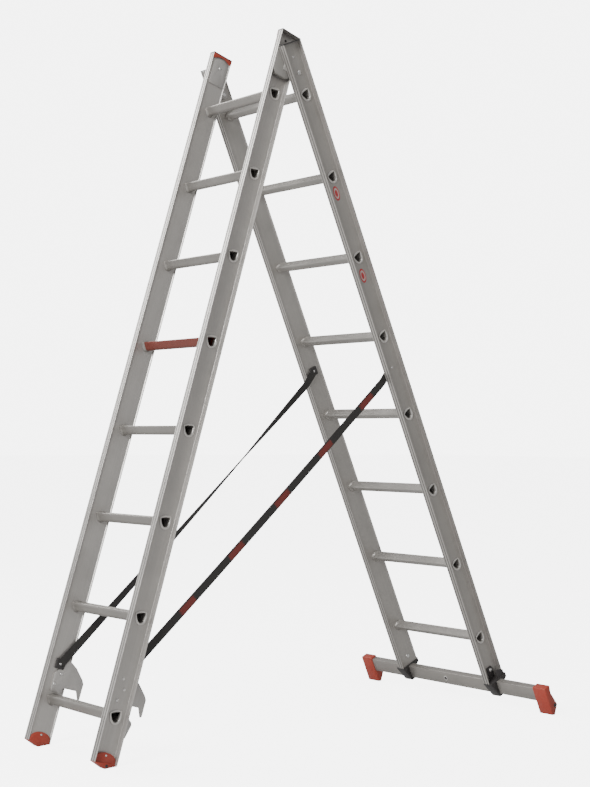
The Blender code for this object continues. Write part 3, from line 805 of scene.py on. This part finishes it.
def strap_rim():
    """The strap's outline, in shares of its width and thickness."""
    rim = [(-0.5, 0.0), (-0.485, -0.5), (-0.25, -0.5), (0.0, -0.5), (0.25, -0.5), (0.485, -0.5)]
    return rim + [(-a, -b) for a, b in rim]


def rim_distance(rim, count):
    """The way round the rim from its first point, past a count of its sides."""
    total = 0.0
    for j in range(count):
        a, b = rim[j % len(rim)], rim[(j + 1) % len(rim)]
        total += math.hypot((b[0] - a[0]) * STRAP_WIDTH, (b[1] - a[1]) * STRAP_THICKNESS)
    return total


def strap_rings(side, route, twist):
    """The rim round each point of the route, turned by a twist that grows and then dies away."""
    rings = []
    for i, point in enumerate(route):
        ahead = (route[min(i + 1, STRAP_STATIONS)] - route[max(i - 1, 0)]).normalized()
        broad = Vector((side, 0, 0)).cross(ahead).normalized()
        t = i / STRAP_STATIONS
        turn = twist * max(0.0, min((t - 0.03) / 0.65, (0.985 - t) / 0.305))
        broad = Matrix.Rotation(turn, 3, ahead) @ broad
        thick = ahead.cross(broad)
        across, through = broad * STRAP_WIDTH, thick * STRAP_THICKNESS
        rings.append([point + across * a + through * b for a, b in strap_rim()])
    return rings


def patch_mask(distance):
    """1 inside a red patch of the strap, 0 outside, with a short slope between."""
    place = (distance - PATCH_FIRST + PATCH_STEP / 2) % PATCH_STEP - PATCH_STEP / 2
    inside = distance > PATCH_FIRST - PATCH_LENGTH
    return eased((PATCH_LENGTH / 2 + PATCH_EDGE - abs(place)) / (2 * PATCH_EDGE)) if inside else 0.0


def strap_stretch(name, rings, lengths, patched):
    """A closed stretch of strap with its weave's UV map and the mask for its patches."""
    rim = strap_rim()
    around = [rim_distance(rim, j) for j in range(len(rim) + 1)]
    bm = bmesh.new()
    weave = bm.loops.layers.uv.new("weave")
    patch = bm.verts.layers.float.new("patch")
    made = [[bm.verts.new(point) for point in ring] for ring in rings]
    for i, (ring, following) in enumerate(zip(made, made[1:])):
        here, there = lengths[i], lengths[i + 1]
        for j in range(len(rim)):
            k = (j + 1) % len(rim)
            face = bm.faces.new((ring[j], ring[k], following[k], following[j]))
            places = ((here, around[j]), (here, around[j + 1]), (there, around[j + 1]), (there, around[j]))
            for loop, place in zip(face.loops, places):
                loop[weave].uv = place
    for ring, length in zip(made, lengths):
        for vert in ring:
            vert[patch] = patch_mask(length) if patched else 0.0
    bm.faces.new(made[0])
    bm.faces.new(made[-1])
    bmesh.ops.recalc_face_normals(bm, faces=bm.faces)
    return finished(name, bm, WEBBING, sharp=STRAP_SHARP)


def strap(side, name, twist, patched):
    """A flat webbing strap in two halves."""
    route = strap_route(side)
    rings = strap_rings(side, route, twist)
    lengths = [0.0]
    for a, b in zip(route, route[1:]):
        lengths.append(lengths[-1] + (b - a).length)
    middle = STRAP_STATIONS // 2
    lower = strap_stretch(name + "_lower", rings[: middle + 1], lengths[: middle + 1], patched)
    upper = strap_stretch(name + "_upper", rings[middle:], lengths[middle:], patched)
    for half in (lower, upper):
        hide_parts(name)
    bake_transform(lower)
    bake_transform(upper)


# Labels

# (share of the half axes, height above the web): a flat disc, with a ring marked out on it
LABEL_RINGS = (
    (1.0, 0.0),
    (1.0, 0.00025),
    (0.78, 0.00028),
    (0.74, 0.00028),
    (0.50, 0.00028),
    (0.46, 0.00028),
    (0.0, 0.00028),
)
LABEL_HALF_AXES = (0.0128, 0.0245)
LABEL_SIDES = 48


def label(name, side, up):
    """A thin oval sticker on the base stile's web: plain red with one paler ring."""
    x = side * (BASE_INNER + WEB_RECESS + WEB_WALL + 0.0002)
    half_across, half_along = LABEL_HALF_AXES
    bm = bmesh.new()
    patch = bm.verts.layers.float.new("patch")
    rings = []
    for share, raised in LABEL_RINGS:
        ring = []
        for i in range(LABEL_SIDES):
            angle = 2 * math.pi * i / LABEL_SIDES
            across, along = half_across * math.cos(angle) * share, half_along * math.sin(angle) * share
            vert = bm.verts.new(section_point(BASE_FRAME, x + side * raised, across, up + along))
            vert[patch] = 1.0 if 0.48 < share < 0.76 else 0.0
            ring.append(vert)
        rings.append(ring)
    join_rings(bm, rings)
    bm.faces.new(rings[0])
    clean(bm)
    item = finished(name, bm, RED_LABEL)
    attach(item, "base")


# Assembly

BAR_HOLE_AT = (-0.019, 0.074)


def bar_hole():
    """A small rimmed hole in the front of the bar, closed by a black disc that stands in for the shade inside
    it: painted shade.
    """
    bm = bmesh.new()
    rings = []
    for radius, out in ((0.0088, 0.0), (0.0084, 0.0008), (0.0066, 0.0008), (0.0060, 0.0004)):
        spots = arc(BAR_HOLE_AT, radius, 0, 345, 23)
        rings.append([bm.verts.new(section_point(BASE_FRAME, x, BAR_FRONT + out, up)) for x, up in spots])
    join_rings(bm, rings)
    bm.faces.new(rings[0])
    # A black disc closes the hole's inner ring: painted shade.
    dark = bm.faces.new(rings[-1])
    dark.material_index = 1
    bmesh.ops.recalc_face_normals(bm, faces=bm.faces)
    # The rim takes the collar's lighter aluminium, a painted highlight.
    item = finished("bar_hole_rim", bm, COLLAR_PAINTED_HIGHLIGHT)
    item.data.materials.append(BLACK_PLASTIC)
    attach(item, "base")


def add_stiles():
    fly = FLY_FRAME, FLY_INNER, FLY_SPAN, FLY_FIRST_RUNG, FLY_ALUMINIUM, "fly"
    base = BASE_FRAME, BASE_INNER, BASE_SPAN, BASE_FIRST_RUNG, BASE_ALUMINIUM, "base"
    for side, hand in ((1, "right"), (-1, "left")):
        stile("fly_stile_" + hand, side, *fly)
        stile("base_stile_" + hand, side, *base)


def add_rungs():
    for k in range(RUNG_COUNT):
        number = k + 1
        # The fly's rungs take the darker copy of the rung aluminium, as painted shade.
        finish = RED_PAINT if number == RED_RUNG else FLY_RUNG_SHADED_ALUMINIUM
        up = FLY_FIRST_RUNG + RUNG_PITCH * k
        rung(f"fly_rung_{number}", FLY_FRAME, FLY_INNER, up, finish, FLY_RUNG_SHADED_ALUMINIUM, "fly")
        up = BASE_FIRST_RUNG + RUNG_PITCH * k
        rung(f"base_rung_{number}", BASE_FRAME, BASE_INNER, up, RUNG_ALUMINIUM, RUNG_ALUMINIUM, "base")


def paint_lid_shade_and_light(item):
    """Gives a cap's lid the black moulding as painted shade, and its underside the paler grey one as painted
    light.
    """
    item.data.materials.append(BLACK_PLASTIC)
    item.data.materials.append(GREY_PLASTIC)
    bm = bmesh.new()
    bm.from_mesh(item.data)
    level = section_point(FLY_FRAME, 0.0, 0.0, FLY_SPAN[1] + 0.0002)
    upwards = FLY_FRAME.to_3x3() @ Vector((0.0, 0.0, 1.0))
    whole = bm.verts[:] + bm.edges[:] + bm.faces[:]
    bmesh.ops.bisect_plane(bm, geom=whole, plane_co=level, plane_no=upwards)
    # Faces above the stile's top turn black as painted shade, and those facing down turn grey as painted
    # light.
    for face in bm.faces:
        if (face.calc_center_median() - level).dot(upwards) > 0.0:
            face.material_index = 2 if face.normal.dot(upwards) < -0.7 else 1
    bm.to_mesh(item.data)
    bm.free()


def add_softened():
    """The moulded and pressed pieces, each as a rounded shell of its solid."""
    kinds = (
        ("fly_top_cap", RED_PLASTIC, 0.0004, "red_plastic", "fly"),
        ("fly_foot", RED_PLASTIC, 0.0014, "red_plastic", "fly"),
        ("bar_foot", RED_PLASTIC, 0.0025, "red_plastic", "base"),
        ("base_top_cap", BLACK_PLASTIC, 0.0005, "black_plastic", "base"),
        ("bar_clamp", BLACK_PLASTIC, 0.0010, "black_plastic", "base"),
        ("base_strap_tab", BLACK_PLASTIC, 0.0008, "black_plastic", "base"),
        ("fly_strap_tab", BLACK_PLASTIC, 0.0008, "black_plastic", "fly"),
        ("guide_shoe", GREY_PLASTIC, 0.0014, "black_plastic", "guides"),
        ("guide_arm", PLATE_ALUMINIUM, 0.0004, "aluminium", "guides"),
        ("clamp_bolt", BRIGHT, 0.0003, "bright_fixings", "base"),
        ("pivot_bolt", BRIGHT, 0.0003, "bright_fixings", "base"),
        ("hook_plate", PLATE_ALUMINIUM, 0.00035, "aluminium", "fly"),
        ("top_plate", PLATE_ALUMINIUM, 0.0005, "aluminium", "fly"),
    )
    for node, finish, width, slot_name, body in kinds:
        for hand in ("right", "left"):
            item = softened(f"{node}_{hand}", finish, width)
            if node == "fly_top_cap":
                paint_lid_shade_and_light(item)
            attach(item, body)
    bar = softened("stabiliser_bar", BAR_ALUMINIUM, 0.0004)
    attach(bar, "base")


OUTWARDS, INWARDS = 1, -1
FLY_WEB_IN = FLY_INNER + WEB_RECESS
FLY_OUTSIDE = FLY_WEB_IN + WEB_WALL + 0.0003
BASE_OUTSIDE = BASE_INNER + WEB_RECESS + WEB_WALL + 0.0003
HOOK_RIVETS = ((-0.012, 0.217), (0.003, 0.185))
TOP_PLATE_RIVET = ((-0.002, 2.262),)
BASE_TOP_RIVET = ((-0.004, 2.343),)
FOOT_RIVET = ((0.0, 0.035),)
# A black disc on each fly foot stands in for a small hole: painted shade.
FOOT_HOLE_SHADE = ((-0.003, 0.0085),)
CAP_RIVET = ((0.003, 2.285),)
BAR_FOOT_PLUG = ((-0.0110, 0.0300),)


def add_fixings():
    """Every rivet head and plug, and the black discs for the feet's holes: (radius, height) of the head,
    where it sits and which way it faces.
    """
    hands = ("right", "left")
    hook_nodes = [(f"hook_rivet_upper_{hand}", f"hook_rivet_lower_{hand}") for hand in hands]
    top_nodes = [(f"top_plate_rivet_{hand}",) for hand in hands]
    large, small = (0.0048, 0.0016), (0.0030, 0.0012)
    plate_face = FLY_WEB_IN - 0.0031
    rivet_pair("hook_heads_inside", "fly", FLY_INNER - 0.0034, HOOK_RIVETS, INWARDS, large, nodes=hook_nodes)
    rivet_pair("hook_heads_outside", "fly", FLY_OUTSIDE, HOOK_RIVETS, OUTWARDS, (0.0048, 0.0024))
    rivet_pair("top_plate_heads", "fly", plate_face, TOP_PLATE_RIVET, INWARDS, large, nodes=top_nodes)
    rivet_pair("top_plate_tails", "fly", FLY_OUTSIDE, TOP_PLATE_RIVET, OUTWARDS, (0.0044, 0.0018))
    rivet_pair("base_top_rivets", "base", BASE_OUTSIDE, BASE_TOP_RIVET, OUTWARDS, (0.0040, 0.0016))
    fly_tab = "fly", FLY_INNER - 0.0033, FLY_OUTSIDE, (FLY_STRAP_AT,)
    base_tab = "base", BASE_INNER - 0.0033, BASE_OUTSIDE, (BASE_STRAP_AT,)
    for body, tab_face, outside, spot in (fly_tab, base_tab):
        nodes = [(f"{body}_strap_rivet_{hand}",) for hand in hands]
        rivet_pair(body + "_strap_heads", body, tab_face, spot, INWARDS, (0.0042, 0.0018), nodes=nodes)
        rivet_pair(body + "_strap_tails", body, outside, spot, OUTWARDS, (0.0042, 0.0020))
    rivet_pair("foot_rivets", "fly", FLY_INNER - 0.0014, FOOT_RIVET, INWARDS, small)
    rivet_pair("foot_rivets_outside", "fly", FLY_OUTSIDE + 0.0099, FOOT_RIVET, OUTWARDS, small)
    # Black discs on the fly feet's outer faces: painted shade in a small hole.
    foot_hole_shade_face = FLY_INNER + STILE_WIDTH + 0.0002
    rivet_pair("foot_hole_shades", "fly", foot_hole_shade_face, FOOT_HOLE_SHADE, OUTWARDS, (0.0040, 0.0006), BLACK_PLASTIC)
    rivet_pair("cap_rivets_outside", "fly", FLY_OUTSIDE, CAP_RIVET, OUTWARDS, (0.0040, 0.0012), BLACK_PLASTIC)
    rivet_pair("bar_foot_plugs", "base", BAR_END, BAR_FOOT_PLUG, OUTWARDS, (0.0060, 0.0006), BLACK_PLASTIC)


add_stiles()
add_rungs()
add_softened()
add_fixings()
strap(1, "strap_right", twist=0.0, patched=True)
strap(-1, "strap_left", twist=math.radians(56.0), patched=False)
bar_hole()
label("upper_label", 1, 1.881)
label("lower_label", 1, 1.594)


# Studio

WORLD_LIGHT = 0.55
WORLD_SEEN = 6.0
FLOOR_LIFT = 5.35
FLOOR_REACH = 60.0
FLOOR_LEVEL = -0.0005
CAMERA_AT = (3.6845, -2.992691, 0.916)
CAMERA_YAW = math.radians(49.74)
CAMERA_PITCH = math.radians(6.08)
CAMERA_ROLL = math.radians(0.42)


def add_floor():
    """A flat white floor, lifted a little for the camera so that only the soft shadows show on it."""
    material, nodes, shader = new_material("studio paper")
    shader.inputs["Base Color"].default_value = (0.55, 0.55, 0.55, 1.0)
    shader.inputs["Roughness"].default_value = 0.9
    shader.inputs["Emission Color"].default_value = (1.0, 1.0, 1.0, 1.0)
    path = nodes.add("ShaderNodeLightPath")
    lift = nodes.math("MULTIPLY", path.outputs["Is Camera Ray"], FLOOR_LIFT)
    nodes.join(lift, shader.inputs["Emission Strength"])
    bm = bmesh.new()
    corners = ((-FLOOR_REACH, -FLOOR_REACH), (FLOOR_REACH, -FLOOR_REACH))
    corners += ((FLOOR_REACH, FLOOR_REACH), (-FLOOR_REACH, FLOOR_REACH))
    bm.faces.new([bm.verts.new((x, y, FLOOR_LEVEL)) for x, y in corners])
    floor = finished("studio_floor", bm, material, smooth=False)


def add_light(name, location, target, size, power):
    light = bpy.data.lights.new(name, "AREA")
    light.shape = "SQUARE"
    light.size = size
    light.energy = power
    item = bpy.data.objects.new(name, light)
    bpy.context.scene.collection.objects.link(item)
    item.location = location
    item.rotation_euler = (Vector(target) - Vector(location)).to_track_quat("-Z", "Y").to_euler()


def add_world():
    """White behind the ladder, and a dimmer even light on it."""
    world = bpy.data.worlds.new("studio")
    world.use_nodes = True
    nodes = Nodes(world.node_tree)
    background = world.node_tree.nodes["Background"]
    background.inputs["Color"].default_value = (1.0, 1.0, 1.0, 1.0)
    path = nodes.add("ShaderNodeLightPath")
    strength = nodes.ramp(path.outputs["Is Camera Ray"], 0.0, 1.0, WORLD_LIGHT, WORLD_SEEN)
    nodes.join(strength, background.inputs["Strength"])
    bpy.context.scene.world = world


def add_camera():
    """A long lens at chest height, from the front right, level with the ladder's lower third."""
    data = bpy.data.cameras.new("camera")
    data.sensor_fit = "HORIZONTAL"
    data.sensor_width = 36.0
    data.lens = 87.15
    data.shift_x = -0.034
    data.shift_y = -0.181
    camera = bpy.data.objects.new("camera", data)
    bpy.context.scene.collection.objects.link(camera)
    turn = Matrix.Rotation(CAMERA_YAW, 4, "Z") @ Matrix.Rotation(math.pi / 2 + CAMERA_PITCH, 4, "X")
    camera.matrix_world = Matrix.Translation(CAMERA_AT) @ turn @ Matrix.Rotation(CAMERA_ROLL, 4, "Z")
    bpy.context.scene.camera = camera


add_floor()
add_world()
add_light("key", (-4.2, -2.8, 4.4), (0.0, -0.2, 1.3), 3.2, 260.0)
add_light("front", (1.8, -6.0, 4.2), (0.0, -0.2, 1.5), 2.6, 620.0)
add_camera()

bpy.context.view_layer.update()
